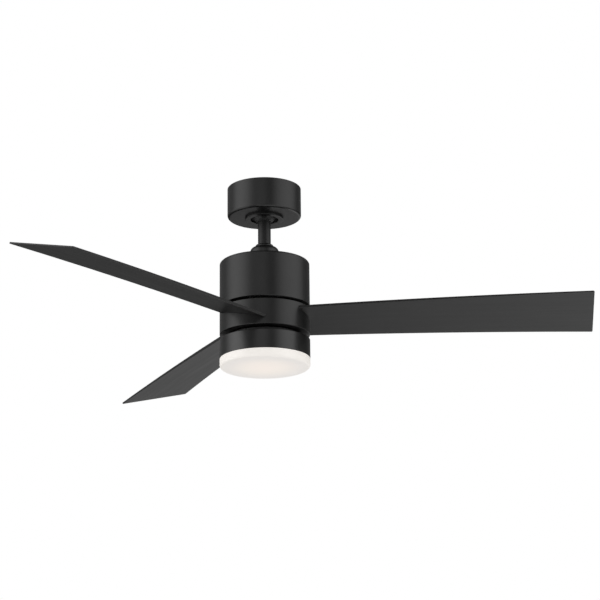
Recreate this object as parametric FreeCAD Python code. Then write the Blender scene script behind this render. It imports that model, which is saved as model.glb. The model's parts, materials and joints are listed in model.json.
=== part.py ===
import FreeCAD, Part
import math
import os

# Three-blade ceiling fan with a light, hung from a ball joint on a short downrod.
# Millimetres. Origin at the centre of the ceiling plane, +Z up, the fan hangs towards -Z.
# Heights are given as z values, so they are negative all the way down.
# Cutting tools run 1 mm past the faces they cut. A head is given as (radius, height).

# ---- driving dimensions -------------------------------------------------------------

BODY_RADIUS = 90.8            # upper housing, rotor band
LIGHT_RADIUS = 90.7           # light ring and diffuser
SHEET = 2.0                   # wall of the housing, band and light ring
SHEET_EDGE = 0.8              # rounding of the shells' rims
GROOVE_EDGE = 1.2             # rounding of the two rims at the groove above the light ring

CANOPY_RADIUS = 75.0
CANOPY_BOTTOM = -62.3
CANOPY_FILLET = 5.2
CANOPY_RIM_EDGE = 1.4         # rounding of the rim at the ceiling
CANOPY_WALL = 1.5
CANOPY_HOLE_RADIUS = 30.0
RING_RADIUS = 39.0            # cover ring under the canopy
RING_HOLE_RADIUS = 28.0
RING_BOTTOM = -66.5
RING_WALL = 1.4
RING_FLOOR = 1.6
RING_EDGE = 1.2

PIVOT_Z = -50.0               # centre of the hanger ball
BALL_RADIUS = 25.4
BALL_TOP = PIVOT_Z + 16.0
BALL_BOTTOM = PIVOT_Z - 20.8
FREE_GAP = 0.3                # between curved faces that move past each other
LINER_THICKNESS = 3.0

ROD_RADIUS = 13.0
ROD_BORE_RADIUS = 10.0
ROD_TOP = PIVOT_Z + 14.0
ROD_BOTTOM = -151.0
SNUG = 0.05                   # radial clearance of a fixed pin or rod in its hole
TIGHT = 0.01                  # radial clearance of a bearing or ring on the shaft
CROSS_REACH = 30.0            # half length of a tool that drills across the axis
CASE_EDGE = 2.5               # rounding of the moulded cases
M3 = 1.5                      # shank radii
M4 = 2.0
M3_HEAD = (2.8, 1.6)
M4_HEAD = (3.6, 2.4)
SHORT_SCREW = 8.0

NECK_RADIUS = 18.4            # coupling cover, upper step
NECK_TOP = -120.0
NECK_FILLET = 4.0
SHOULDER_RADIUS = 29.2        # coupling cover, lower step
SHOULDER_TOP = -125.6
SHOULDER_FILLET = 10.7
COVER_WALL = 2.2
COVER_GAP = 0.4               # around the rod

HOUSING_TOP = -159.25
HOUSING_BOTTOM = -252.85
HOUSING_FILLET = 4.75
BAND_TOP = -258.45
BAND_BOTTOM = -310.8
LIGHT_TOP = -321.05
LIGHT_BOTTOM = -359.8
DIFFUSER_BOTTOM = -377.7
NECK_GAP = 1.5                # rotor band to the fixed light neck

SHAFT_RADIUS = 10.0
SHAFT_BORE_RADIUS = 6.5
SHAFT_BOTTOM = -331.0
BEARING_OUTER_RADIUS = 21.0
BEARING_WIDTH = 12.0
BEARING_TOPS = (-172.5, -232.0)
BEARING_SEAT_RADIUS = BEARING_OUTER_RADIUS + 2 * TIGHT
BEARING_MOUTH_RADIUS = 18.5
INNER_RACE_RADIUS = 13.2      # outside of the inner ring
OUTER_RACE_RADIUS = 17.8      # inside of the outer ring
BALL_PITCH_RADIUS = 15.5
BALL_COUNT = 9
BEARING_BALL_RADIUS = 3.2

STATOR_RADIUS = 62.5
STATOR_TOP = -190.0
STATOR_BOTTOM = -220.0
TOOTH_COUNT = 18
MAGNET_COUNT = 20
BELL_RADIUS = 70.5
BELL_TOP = -171.0
BELL_BOTTOM = -232.0

BLADE_ANGLES = (-7.28, 112.72, 232.72)
BLADE_PITCH = 14.0
BLADE_RISE = 0.25             # degrees above level at the root
SAG_START = 90.0              # from here to the tip the blade bends down under its own weight
SAG_RADIUS = 18000.0
BLADE_AXIS_Z = -281.8         # middle of the blade's thickness, carried back to the fan's axis
ROOT_HALF_CHORD = 53.0        # across the blade's face, carried back to the axis
TIP_HALF_CHORD = 79.0         # and at the tip
CHORD_SHIFT = 2.35            # the chord's middle lies this far towards the low edge
BLADE_ROOT_THICKNESS = 6.1
BLADE_TIP_THICKNESS = 2.9
BLADE_LENGTH = 656.2          # axis to the tip's far corner, along the blade
TIP_SLANT = 3.2               # the tip is cut this much shorter on the low edge
TIP_CORNER = 3.0
BLADE_EDGE = 0.5              # rounding of the blade's long edges
SLOT_GAP = 0.3                # around each blade where it passes the rotor band
ROOT_R = 66.0                 # blade narrows to its tongue inside the band from here, on the high edge
LOW_ROOT_R = 50.0             # and from here on the low edge
TONGUE_R = 56.0
TONGUE_END = 40.0
TONGUE_HALF_WIDTH = 29.0
GASKET = 1.0
PAD_THICKNESS = 6.0
PAD_END = 78.0
BLADE_SCREW_SPOTS = ((50.0, 0.0), (70.0, 18.0), (70.0, -18.0))

LUG_COUNT = 3
LUG_HALF_ANGLE = 12.0
TAB_HALF_ANGLE = 14.0

X = FreeCAD.Vector(1, 0, 0)
Y = FreeCAD.Vector(0, 1, 0)
Z = FreeCAD.Vector(0, 0, 1)
ORIGIN = FreeCAD.Vector(0, 0, 0)


# ---- helpers ------------------------------------------------------------------------

def vec(x, y, z):
    return FreeCAD.Vector(x, y, z)


def disc(radius, z_low, z_high, x=0.0, y=0.0):
    return Part.makeCylinder(radius, z_high - z_low, vec(x, y, z_low))


def tube(outer, inner, z_low, z_high):
    return disc(outer, z_low, z_high).cut(disc(inner, z_low - 1, z_high + 1))


def box(x_low, x_high, y_low, y_high, z_low, z_high):
    size = (x_high - x_low, y_high - y_low, z_high - z_low)
    return Part.makeBox(*size, vec(x_low, y_low, z_low))


def rod_along(axis, radius, start, length):
    return Part.makeCylinder(radius, length, start, axis)


def turned(shape, degrees, axis=Z, centre=ORIGIN):
    copy = shape.copy()
    copy.rotate(centre, axis, degrees)
    return copy


def ring_of(shape, count, start=0.0):
    return [turned(shape, start + 360.0 * i / count) for i in range(count)]


def fuse_all(shapes):
    result = shapes[0]
    for shape in shapes[1:]:
        result = result.fuse(shape)
    return result.removeSplitter()


def cut_all(shape, tools):
    for tool in tools:
        shape = shape.cut(tool)
    return shape


def outline(corners):
    """Closed wire in the XZ plane through (r, z, corner radius) points."""
    points = [vec(r, 0, z) for r, z, _ in corners]
    count = len(points)
    edges = []
    ends = []
    for i, (_, _, radius) in enumerate(corners):
        here = points[i]
        back = (points[i - 1] - here).normalize()
        ahead = (points[(i + 1) % count] - here).normalize()
        if radius == 0:
            ends.append((here, here, None))
            continue
        half = back.getAngle(ahead) / 2.0
        run = radius / math.tan(half)
        bisector = (back + ahead).normalize()
        middle = here + bisector * (radius / math.sin(half) - radius)
        ends.append((here + back * run, here + ahead * run, middle))
    for i, (start, stop, middle) in enumerate(ends):
        if middle is not None:
            edges.append(Part.Arc(start, middle, stop).toShape())
        following = ends[(i + 1) % count][0]
        if stop.distanceToPoint(following) > 1e-6:
            edges.append(Part.LineSegment(stop, following).toShape())
    return Part.Wire(edges)


def lathe(corners):
    """Solid of revolution about Z from an (r, z, corner radius) outline."""
    return Part.Face(outline(corners)).revolve(ORIGIN, Z, 360)


def sector(inner, outer, half_angle, z_low, z_high, centre_angle=0.0):
    """Block of a ring, half_angle to each side of centre_angle."""
    face = Part.Face(outline([(inner, z_low, 0), (outer, z_low, 0), (outer, z_high, 0), (inner, z_high, 0)]))
    block = face.revolve(ORIGIN, Z, 2 * half_angle)
    return turned(block, centre_angle - half_angle)


def prism(points, z_low, z_high):
    """Straight-sided solid over a closed list of (x, y) points."""
    corners = [vec(x, y, z_low) for x, y in points]
    wire = Part.makePolygon(corners + corners[:1])
    return Part.Face(wire).extrude(vec(0, 0, z_high - z_low))


def hexagon(across_flats, z_low, z_high, x=0.0, y=0.0):
    reach = across_flats / math.sqrt(3.0)
    turns = [math.radians(60 * i) for i in range(6)]
    return prism([(x + reach * math.cos(a), y + reach * math.sin(a)) for a in turns], z_low, z_high)


def pan_screw(shank, length, head_radius, head_height):
    """Screw along Z: head underside at z 0, head and its hexagon socket below, shank upwards."""
    head = disc(head_radius, -head_height, 0)
    rim = [e for e in head.Edges if abs(e.BoundBox.ZMax + head_height) < 1e-6 and e.Closed]
    head = head.makeFillet(0.4 * head_height, rim[:1])
    socket = hexagon(0.9 * head_radius, -head_height - 1, -0.45 * head_height)
    return head.fuse(disc(shank, 0, length)).cut(socket).removeSplitter()


def cross_hole(axis, radius, z):
    """Tool that drills right across the fan's axis at height z."""
    return rod_along(axis, radius + SNUG, vec(0, 0, z) - axis * CROSS_REACH, 2 * CROSS_REACH)


def upright_edges(solid):
    return [e for e in solid.Edges if abs(e.Vertexes[0].Z - e.Vertexes[1].Z) > 1]


def moved(shape, x, y, z):
    copy = shape.copy()
    copy.translate(vec(x, y, z))
    return copy


def around(radius, count, start):
    """(x, y) of count points evenly spaced on a circle."""
    angles = [math.radians(start + 360.0 * i / count) for i in range(count)]
    return [(radius * math.cos(a), radius * math.sin(a)) for a in angles]


def flipped(shape):
    return turned(shape, 180, X)


def to_blade(shape):
    """Lay a shape made along +X on the blade's plane: rise, pitch, height."""
    laid = turned(shape, -BLADE_RISE, Y)
    laid = turned(laid, -BLADE_PITCH, X)
    return moved(laid, 0, 0, BLADE_AXIS_Z)


def at_blades(shape):
    """Three copies of a flat shape, one on each blade's plane."""
    laid = to_blade(shape)
    return [turned(laid, angle) for angle in BLADE_ANGLES]


# ---- ceiling mount ------------------------------------------------------------------

PLATE = 2.0                   # bracket steel
PLATE_HALF_LENGTH = 68.0
PLATE_HALF_WIDTH = 20.0
LEG_OUTER = 58.0              # outer face of the bracket's legs
FLANGE_HALF_WIDTH = 15.0
RIVET_SPOTS = [(x, y) for x in (-63.0, 63.0) for y in (-8.0, 8.0)]
RIVET_RADIUS = 2.0
RIVET_HEAD_RADIUS = 3.4
RIVET_HEAD_HEIGHT = 1.3
SLOT_HALF_SPACING = 40.0      # ceiling box screws
SLOT_LENGTH = 26.0
SLOT_RADIUS = 2.75
WIRE_HOLE_HALF = 12.0         # square hole for the supply leads
SHELF_Z = -54.0               # underside of the bracket's lower plate
SHELF_RADIUS = 42.0
SEAT_RADIUS = BALL_RADIUS + FREE_GAP + LINER_THICKNESS + FREE_GAP
SEAT_WALL = 3.4
SEAT_OUTER_RADIUS = SEAT_RADIUS + SEAT_WALL
SEAT_BOTTOM = PIVOT_Z - 10.5
CANOPY_SCREW_R = 34.0
CANOPY_BOSS_RADIUS = 3.8
KEY_RADIUS = 2.5
KEY_INNER = 20.5
KEY_LUG_HALF = 5.0
KEY_LUG_DEPTH = 4.0           # below the pivot
KEY_SLOT_HALF = 5.0
GROOVE_FLOOR = -18.5          # y of the bottom of the ball's key groove
CANOPY_SCREW_SHANK = 2.0
CANOPY_SCREW_LENGTH = 11.0
CANOPY_SCREW_HEAD = (2.9, 2.0)
RECEIVER_INNER = 33.2
RECEIVER_OUTER = 55.0
RECEIVER_HALF_WIDTH = 19.0
RECEIVER_TOP = -20.0


def ceiling_plate():
    """Crossbar against the ceiling box: two long slots and a square hole for the leads."""
    plate = box(-PLATE_HALF_LENGTH, PLATE_HALF_LENGTH, -PLATE_HALF_WIDTH, PLATE_HALF_WIDTH, -PLATE, 0)
    half = WIRE_HOLE_HALF
    holes = [box(-half, half, -half, half, -PLATE - 1, 1)]
    holes += [disc(RIVET_RADIUS + SNUG, -PLATE - 1, 1, x, y) for x, y in RIVET_SPOTS]
    reach = SLOT_LENGTH / 2.0 - SLOT_RADIUS
    for side in (-SLOT_HALF_SPACING, SLOT_HALF_SPACING):
        holes.append(box(side - reach, side + reach, -SLOT_RADIUS, SLOT_RADIUS, -PLATE - 1, 1))
        holes.append(disc(SLOT_RADIUS, -PLATE - 1, 1, side - reach))
        holes.append(disc(SLOT_RADIUS, -PLATE - 1, 1, side + reach))
    return cut_all(plate, holes)


def mounting_bracket():
    """U-shaped bracket riveted under the plate, with the seat for the hanger ball."""
    width = PLATE_HALF_WIDTH
    shelf = box(-LEG_OUTER, LEG_OUTER, -width, width, SHELF_Z, SHELF_Z + PLATE)
    seat = disc(SEAT_OUTER_RADIUS, SEAT_BOTTOM, PIVOT_Z)
    shelf_disc = disc(SHELF_RADIUS, SHELF_Z, SHELF_Z + PLATE)
    bosses = [disc(CANOPY_BOSS_RADIUS, CANOPY_BOTTOM + CANOPY_WALL, SHELF_Z + PLATE, 0, y)
              for y in (-CANOPY_SCREW_R, CANOPY_SCREW_R)]
    key_lug = box(-KEY_LUG_HALF, KEY_LUG_HALF, -SEAT_OUTER_RADIUS, 0.5 - SEAT_RADIUS,
                  PIVOT_Z - KEY_LUG_DEPTH, PIVOT_Z + 2 * KEY_RADIUS)
    body = fuse_all([shelf, shelf_disc, seat, key_lug] + bosses)
    for start in (-LEG_OUTER, LEG_OUTER - PLATE):
        body = body.fuse(box(start, start + PLATE, -width, width, SHELF_Z, -PLATE))
    for start in (-PLATE_HALF_LENGTH, LEG_OUTER - PLATE):
        stop = start + PLATE_HALF_LENGTH - LEG_OUTER + PLATE
        body = body.fuse(box(start, stop, -FLANGE_HALF_WIDTH, FLANGE_HALF_WIDTH, -2 * PLATE, -PLATE))
    body = body.removeSplitter().cut(Part.makeSphere(SEAT_RADIUS, vec(0, 0, PIVOT_Z)))
    key = rod_along(Y, KEY_RADIUS, vec(0, -SEAT_OUTER_RADIUS, PIVOT_Z), SEAT_OUTER_RADIUS - KEY_INNER)
    body = body.fuse(key)
    holes = [disc(CANOPY_SCREW_SHANK + SNUG, CANOPY_BOTTOM, SHELF_Z + PLATE + 1, 0, y)
             for y in (-CANOPY_SCREW_R, CANOPY_SCREW_R)]
    holes += [disc(RIVET_RADIUS + SNUG, -2 * PLATE - 1, 1, x, y) for x, y in RIVET_SPOTS]
    return cut_all(body, holes)


def bracket_rivets():
    """Flush with the ceiling, headed under the flanges."""
    rivets = []
    for x, y in RIVET_SPOTS:
        shank = disc(RIVET_RADIUS, -2 * PLATE, 0, x, y)
        head = disc(RIVET_HEAD_RADIUS, -2 * PLATE - RIVET_HEAD_HEIGHT, -2 * PLATE, x, y)
        rivets.append(shank.fuse(head).removeSplitter())
    return rivets


def control_receiver():
    half = RECEIVER_HALF_WIDTH
    case = box(RECEIVER_INNER, RECEIVER_OUTER, -half, half, SHELF_Z + PLATE, RECEIVER_TOP)
    return case.makeFillet(CASE_EDGE, upright_edges(case))


def canopy():
    wall = CANOPY_WALL
    radius = CANOPY_RADIUS
    bottom = CANOPY_BOTTOM
    shell = lathe([
        (CANOPY_HOLE_RADIUS, bottom, 0),
        (radius, bottom, CANOPY_FILLET),
        (radius, 0, CANOPY_RIM_EDGE),
        (radius - wall, 0, 0),
        (radius - wall, bottom + wall, CANOPY_FILLET - wall),
        (CANOPY_HOLE_RADIUS, bottom + wall, 0)])
    holes = [disc(CANOPY_SCREW_SHANK + FREE_GAP, bottom - 1, bottom + wall + 1, 0, y)
             for y in (-CANOPY_SCREW_R, CANOPY_SCREW_R)]
    return cut_all(shell, holes)


def canopy_screws():
    screw = pan_screw(CANOPY_SCREW_SHANK, CANOPY_SCREW_LENGTH, *CANOPY_SCREW_HEAD)
    return [moved(screw, 0, y, CANOPY_BOTTOM) for y in (-CANOPY_SCREW_R, CANOPY_SCREW_R)]


def canopy_ring():
    """Snap-on ring that hides the two canopy screws."""
    inside = RING_BOTTOM + RING_FLOOR
    return lathe([
        (RING_HOLE_RADIUS, RING_BOTTOM, RING_EDGE),
        (RING_RADIUS, RING_BOTTOM, RING_EDGE),
        (RING_RADIUS, CANOPY_BOTTOM, 0),
        (RING_RADIUS - RING_WALL, CANOPY_BOTTOM, 0),
        (RING_RADIUS - RING_WALL, inside, 0),
        (RING_HOLE_RADIUS + RING_WALL, inside, 0),
        (RING_HOLE_RADIUS + RING_WALL, CANOPY_BOTTOM, 0),
        (RING_HOLE_RADIUS, CANOPY_BOTTOM, 0)])


def ball_seat_liner():
    """Nylon cup between the ball and the bracket, split at the key."""
    inner = BALL_RADIUS + FREE_GAP
    outer = inner + LINER_THICKNESS
    centre = vec(0, 0, PIVOT_Z)
    shell = Part.makeSphere(outer, centre).cut(Part.makeSphere(inner, centre))
    keep = disc(outer + 1, SEAT_BOTTOM, PIVOT_Z)
    gap = box(-KEY_SLOT_HALF, KEY_SLOT_HALF, -outer - 1, 0, SEAT_BOTTOM - 1, PIVOT_Z + 1)
    return shell.common(keep).cut(gap)


# ---- hanging unit: ball, rod, coupling ----------------------------------------------

HANGER_PIN_Z = PIVOT_Z + 8.0
HANGER_PIN_RADIUS = 3.0
HANGER_PIN_HALF = 19.5
SET_SCREW_RADIUS = 2.5
SET_SCREW_LENGTH = 8.0
SET_SCREW_FLATS = 2.5
SET_SCREW_SOCKET = 3.0        # depth
BALL_SCREW_Z = PIVOT_Z - 8.0
CLEVIS_Z = -143.0
CLEVIS_RADIUS = 3.5
CLEVIS_HALF = 23.0
CLEVIS_HEAD_RADIUS = 5.1
CLEVIS_HEAD_HEIGHT = 2.2
COTTER_X = 21.7
COTTER_RADIUS = 0.9
COTTER_LENGTH = 10.0
COTTER_TAIL = 5.5             # below the clevis pin's middle
COTTER_EYE_RADIUS = 1.9
COTTER_EYE_RISE = 6.2
LEAD_RADIUS = 1.3
LEAD_SPOTS = ((0.0, 8.2), (-2.6, -5.1), (2.6, -5.1))
LEAD_TOP = HANGER_PIN_Z - 6.0
LEAD_BOTTOM = CLEVIS_Z + 5.5
YOKE_RADIUS = 18.5
YOKE_TOP = -134.0
YOKE_FLANGE_RADIUS = 26.0
YOKE_FLANGE_TOP = HOUSING_TOP + 4.0
YOKE_BOLT_R = 22.2
YOKE_BOLT_SHANK = 2.0
YOKE_BOLT_LENGTH = 10.5
YOKE_BOLT_HEAD = (3.2, 2.6)
SHAFT_FLANGE_RADIUS = 30.0
SHAFT_FLANGE_BOTTOM = -167.0


def hanger_ball():
    ball = Part.makeSphere(BALL_RADIUS, vec(0, 0, PIVOT_Z))
    ball = ball.common(disc(BALL_RADIUS + 1, BALL_BOTTOM, BALL_TOP))
    ball = ball.cut(disc(ROD_RADIUS + SNUG, BALL_BOTTOM - 1, BALL_TOP + 1))
    groove = box(-KEY_SLOT_HALF, KEY_SLOT_HALF, -BALL_RADIUS - 1, GROOVE_FLOOR, BALL_BOTTOM - 1, BALL_TOP + 1)
    screw_hole = rod_along(Y, SET_SCREW_RADIUS + SNUG, vec(0, ROD_BORE_RADIUS, BALL_SCREW_Z), BALL_RADIUS)
    return cut_all(ball, [groove, screw_hole, cross_hole(X, HANGER_PIN_RADIUS, HANGER_PIN_Z)])


def hanger_pin():
    return rod_along(X, HANGER_PIN_RADIUS, vec(-HANGER_PIN_HALF, 0, HANGER_PIN_Z), 2 * HANGER_PIN_HALF)


def ball_set_screw():
    start = ROD_RADIUS + SNUG
    screw = rod_along(Y, SET_SCREW_RADIUS, vec(0, start, BALL_SCREW_Z), SET_SCREW_LENGTH)
    socket = turned(hexagon(SET_SCREW_FLATS, 0, SET_SCREW_SOCKET + 1), -90, X)
    return screw.cut(moved(socket, 0, start + SET_SCREW_LENGTH - SET_SCREW_SOCKET, BALL_SCREW_Z))


def downrod():
    rod = tube(ROD_RADIUS, ROD_BORE_RADIUS, ROD_BOTTOM, ROD_TOP)
    upper = cross_hole(X, HANGER_PIN_RADIUS, HANGER_PIN_Z)
    lower = cross_hole(X, CLEVIS_RADIUS, CLEVIS_Z)
    return cut_all(rod, [upper, lower])


def motor_leads():
    """Three insulated leads that run down the rod, clear of its two cross pins."""
    return [disc(LEAD_RADIUS, LEAD_BOTTOM, LEAD_TOP, x, y) for x, y in LEAD_SPOTS]


def coupling_cover():
    wall = COVER_WALL
    hole = ROD_RADIUS + COVER_GAP
    return lathe([
        (hole, NECK_TOP, 0),
        (NECK_RADIUS, NECK_TOP, NECK_FILLET),
        (NECK_RADIUS, SHOULDER_TOP, SHEET_EDGE),
        (SHOULDER_RADIUS, SHOULDER_TOP, SHOULDER_FILLET),
        (SHOULDER_RADIUS, HOUSING_TOP, 0),
        (SHOULDER_RADIUS - wall, HOUSING_TOP, 0),
        (SHOULDER_RADIUS - wall, SHOULDER_TOP - wall, SHOULDER_FILLET - wall),
        (hole, SHOULDER_TOP - wall, 0)])


def yoke_bolt_spots():
    return around(YOKE_BOLT_R, 3, 30)


def yoke():
    body = fuse_all([disc(YOKE_RADIUS, HOUSING_TOP, YOKE_TOP),
                     disc(YOKE_FLANGE_RADIUS, HOUSING_TOP, YOKE_FLANGE_TOP)])
    holes = [
        disc(ROD_RADIUS + SNUG, ROD_BOTTOM, YOKE_TOP + 1),
        disc(SHAFT_BORE_RADIUS, HOUSING_TOP - 1, ROD_BOTTOM + 1),
        cross_hole(X, CLEVIS_RADIUS, CLEVIS_Z),
        cross_hole(Y, SET_SCREW_RADIUS, CLEVIS_Z)]
    holes += [disc(YOKE_BOLT_SHANK + SNUG, HOUSING_TOP - 1, YOKE_FLANGE_TOP + 1, x, y)
              for x, y in yoke_bolt_spots()]
    return cut_all(body, holes)


def clevis_pin():
    start = vec(-CLEVIS_HALF, 0, CLEVIS_Z)
    pin = rod_along(X, CLEVIS_RADIUS, start, 2 * CLEVIS_HALF)
    head = rod_along(X, CLEVIS_HEAD_RADIUS, start, CLEVIS_HEAD_HEIGHT)
    hole = disc(COTTER_RADIUS + SNUG, CLEVIS_Z - CLEVIS_RADIUS - 1, CLEVIS_Z + CLEVIS_RADIUS + 1, COTTER_X)
    return pin.fuse(head).cut(hole).removeSplitter()


def cotter_pin():
    leg = rod_along(Z, COTTER_RADIUS, vec(COTTER_X, 0, CLEVIS_Z - COTTER_TAIL), COTTER_LENGTH)
    eye = Part.makeTorus(COTTER_EYE_RADIUS, COTTER_RADIUS, vec(COTTER_X, 0, CLEVIS_Z + COTTER_EYE_RISE), Y)
    return leg.fuse(eye)


def yoke_set_screws():
    start = vec(0, ROD_RADIUS + SNUG, CLEVIS_Z)
    screw = rod_along(Y, SET_SCREW_RADIUS, start, SET_SCREW_LENGTH)
    return ring_of(screw, 2)


def yoke_bolts():
    bolt = flipped(pan_screw(YOKE_BOLT_SHANK, YOKE_BOLT_LENGTH, *YOKE_BOLT_HEAD))
    return [moved(bolt, x, y, YOKE_FLANGE_TOP) for x, y in yoke_bolt_spots()]


# ---- hanging unit: housing, shaft, stator -------------------------------------------

FLOOR_TOP = HOUSING_BOTTOM + SHEET
FLOOR_HOLE_RADIUS = 40.0
FLOOR_BOSS_TOP = -236.0
FLOOR_BOSS_RADIUS = 4.5
FLOOR_SCREW_R = 84.5


def floor_screw_spots():
    return around(FLOOR_SCREW_R, 3, 90)


def upper_housing():
    radius = BODY_RADIUS
    shell = lathe([
        (SHAFT_BORE_RADIUS, HOUSING_TOP, 0),
        (radius, HOUSING_TOP, HOUSING_FILLET),
        (radius, HOUSING_BOTTOM, SHEET_EDGE),
        (radius - SHEET, HOUSING_BOTTOM, 0),
        (radius - SHEET, HOUSING_TOP - SHEET, HOUSING_FILLET - SHEET),
        (SHAFT_BORE_RADIUS, HOUSING_TOP - SHEET, 0)])
    bosses = [disc(FLOOR_BOSS_RADIUS, FLOOR_TOP, FLOOR_BOSS_TOP, x, y) for x, y in floor_screw_spots()]
    holes = [disc(YOKE_BOLT_SHANK + FREE_GAP, HOUSING_TOP - SHEET - 1, HOUSING_TOP + 1, x, y)
             for x, y in yoke_bolt_spots()]
    holes += [disc(M3 + SNUG, FLOOR_TOP - 1, FLOOR_BOSS_TOP + 1, x, y) for x, y in floor_screw_spots()]
    return cut_all(fuse_all([shell] + bosses), holes)


def housing_floor():
    """Annular plate that closes the housing from below, around the turning hub."""
    plate = tube(BODY_RADIUS - SHEET - SNUG, FLOOR_HOLE_RADIUS, HOUSING_BOTTOM, FLOOR_TOP)
    holes = [disc(M3 + SNUG, HOUSING_BOTTOM - 1, FLOOR_TOP + 1, x, y) for x, y in floor_screw_spots()]
    return cut_all(plate, holes)


def housing_floor_screws():
    screw = pan_screw(M3, SHORT_SCREW, *M3_HEAD)
    return [moved(screw, x, y, HOUSING_BOTTOM) for x, y in floor_screw_spots()]


def motor_shaft():
    shaft = fuse_all([disc(SHAFT_RADIUS, SHAFT_BOTTOM, HOUSING_TOP - SHEET),
                      disc(SHAFT_FLANGE_RADIUS, SHAFT_FLANGE_BOTTOM, HOUSING_TOP - SHEET)])
    holes = [disc(SHAFT_BORE_RADIUS, SHAFT_BOTTOM - 1, HOUSING_TOP)]
    holes += [disc(YOKE_BOLT_SHANK + SNUG, SHAFT_FLANGE_BOTTOM - 1, HOUSING_TOP, x, y)
              for x, y in yoke_bolt_spots()]
    return cut_all(shaft, holes)


STATOR_HUB_RADIUS = 26.0
TOOTH_TIP_DEPTH = 4.0
TOOTH_HALF_WIDTH = 3.0
COIL_THICKNESS = 2.6
COIL_OVERHANG = 4.5
COIL_INNER = 37.0
COIL_ROUNDING = 2.0
COIL_GAP = 0.1                # insulation between coil and tooth
COIL_END_GAP = 0.6            # coil to the tooth's tip
TOOTH_TIP_HALF_ANGLE = 180.0 / TOOTH_COUNT - 1.6


def stator_core():
    tooth = box(STATOR_HUB_RADIUS - 2, STATOR_RADIUS - 2, -TOOTH_HALF_WIDTH, TOOTH_HALF_WIDTH,
                STATOR_BOTTOM, STATOR_TOP)
    tip = sector(STATOR_RADIUS - TOOTH_TIP_DEPTH, STATOR_RADIUS, TOOTH_TIP_HALF_ANGLE,
                 STATOR_BOTTOM, STATOR_TOP)
    hub = disc(STATOR_HUB_RADIUS, STATOR_BOTTOM, STATOR_TOP)
    core = fuse_all([hub] + ring_of(tooth.fuse(tip), TOOTH_COUNT))
    return core.cut(disc(SHAFT_RADIUS + SNUG, STATOR_BOTTOM - 1, STATOR_TOP + 1))


def stator_windings():
    half = TOOTH_HALF_WIDTH
    gap = COIL_GAP
    outer = box(COIL_INNER, STATOR_RADIUS - TOOTH_TIP_DEPTH - COIL_END_GAP,
                -half - COIL_THICKNESS, half + COIL_THICKNESS,
                STATOR_BOTTOM - COIL_OVERHANG, STATOR_TOP + COIL_OVERHANG)
    along = [e for e in outer.Edges if abs(e.Vertexes[0].X - e.Vertexes[1].X) > 1]
    outer = outer.makeFillet(COIL_ROUNDING, along)
    core = box(0, STATOR_RADIUS, -half - gap, half + gap, STATOR_BOTTOM - gap, STATOR_TOP + gap)
    return ring_of(outer.cut(core), TOOTH_COUNT)


def bearing_race_groove(z_middle):
    return Part.makeTorus(BALL_PITCH_RADIUS, BEARING_BALL_RADIUS + FREE_GAP, vec(0, 0, z_middle))


def bearing_inner_rings():
    rings = []
    for top in BEARING_TOPS:
        ring = tube(INNER_RACE_RADIUS, SHAFT_RADIUS + TIGHT, top - BEARING_WIDTH, top)
        rings.append(ring.cut(bearing_race_groove(top - BEARING_WIDTH / 2)))
    return rings


def bearing_outer_rings():
    rings = []
    for top in BEARING_TOPS:
        ring = tube(BEARING_OUTER_RADIUS, OUTER_RACE_RADIUS, top - BEARING_WIDTH, top)
        rings.append(ring.cut(bearing_race_groove(top - BEARING_WIDTH / 2)))
    return rings


def bearing_balls():
    balls = []
    for top in BEARING_TOPS:
        ball = Part.makeSphere(BEARING_BALL_RADIUS, vec(BALL_PITCH_RADIUS, 0, top - BEARING_WIDTH / 2))
        balls += ring_of(ball, BALL_COUNT)
    return balls


RETAINER_RADIUS = 13.0
RETAINER_THICKNESS = 1.4
RETAINER_GAP = 0.2            # to the bearing
RETAINER_SPLIT_HALF = 1.6


def retaining_rings():
    """One split ring on the shaft beyond each bearing."""
    rings = []
    above = BEARING_TOPS[0] + RETAINER_GAP + RETAINER_THICKNESS
    below = BEARING_TOPS[1] - BEARING_WIDTH - RETAINER_GAP
    for top in (above, below):
        low = top - RETAINER_THICKNESS
        split = box(0, RETAINER_RADIUS + 1, -RETAINER_SPLIT_HALF, RETAINER_SPLIT_HALF, low - 1, top + 1)
        rings.append(tube(RETAINER_RADIUS, SHAFT_RADIUS + TIGHT, low, top).cut(split))
    return rings


# ---- rotor: bell, hub, band, blades -------------------------------------------------

BOSS_RADIUS = 26.0
BOSS_LENGTH = 14.0
BELL_WALL = 3.0
BELL_LIP = 1.5                # holds the upper bearing in its seat
VENT_RADIUS = 7.0
VENT_R = 45.0
VENT_COUNT = 6
AIR_GAP = 0.8                 # stator to magnets
MAGNET_HALF_ANGLE = 180.0 / MAGNET_COUNT - 0.9
MAGNET_OVERHANG = 2.0
BASE_THICKNESS = 3.5
COLUMN_OUTER = 36.0
COLUMN_INNER = 29.0
COLUMN_BOTTOM = -262.0
HUB_BORE = 27.0
HUB_PLATE_TOP = -304.0
HUB_PLATE_BOTTOM = BAND_BOTTOM + SHEET
HUB_PLATE_RADIUS = 62.0
WEB_HALF_WIDTH = 3.0
WEB_REACH = 45.0              # webs under the blade seats stop short of the screw heads
HUB_SCREW_R = 32.5
HUB_SCREW_BITE = 8.0
BAND_SCREW_R = 52.0
BAND_HOLE_RADIUS = 40.0
RIM_SCREW = 1.0
RIM_SCREW_LENGTH = 9.0
RIM_SCREW_HEAD = (2.2, 1.6)
BAND_SCREW_HEAD_RADIUS = 3.0
BAND_SCREW_LENGTH = 6.5
SCREW_SLOT_HALF = 0.4
SCREW_SLOT_DEPTH = 0.8


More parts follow.
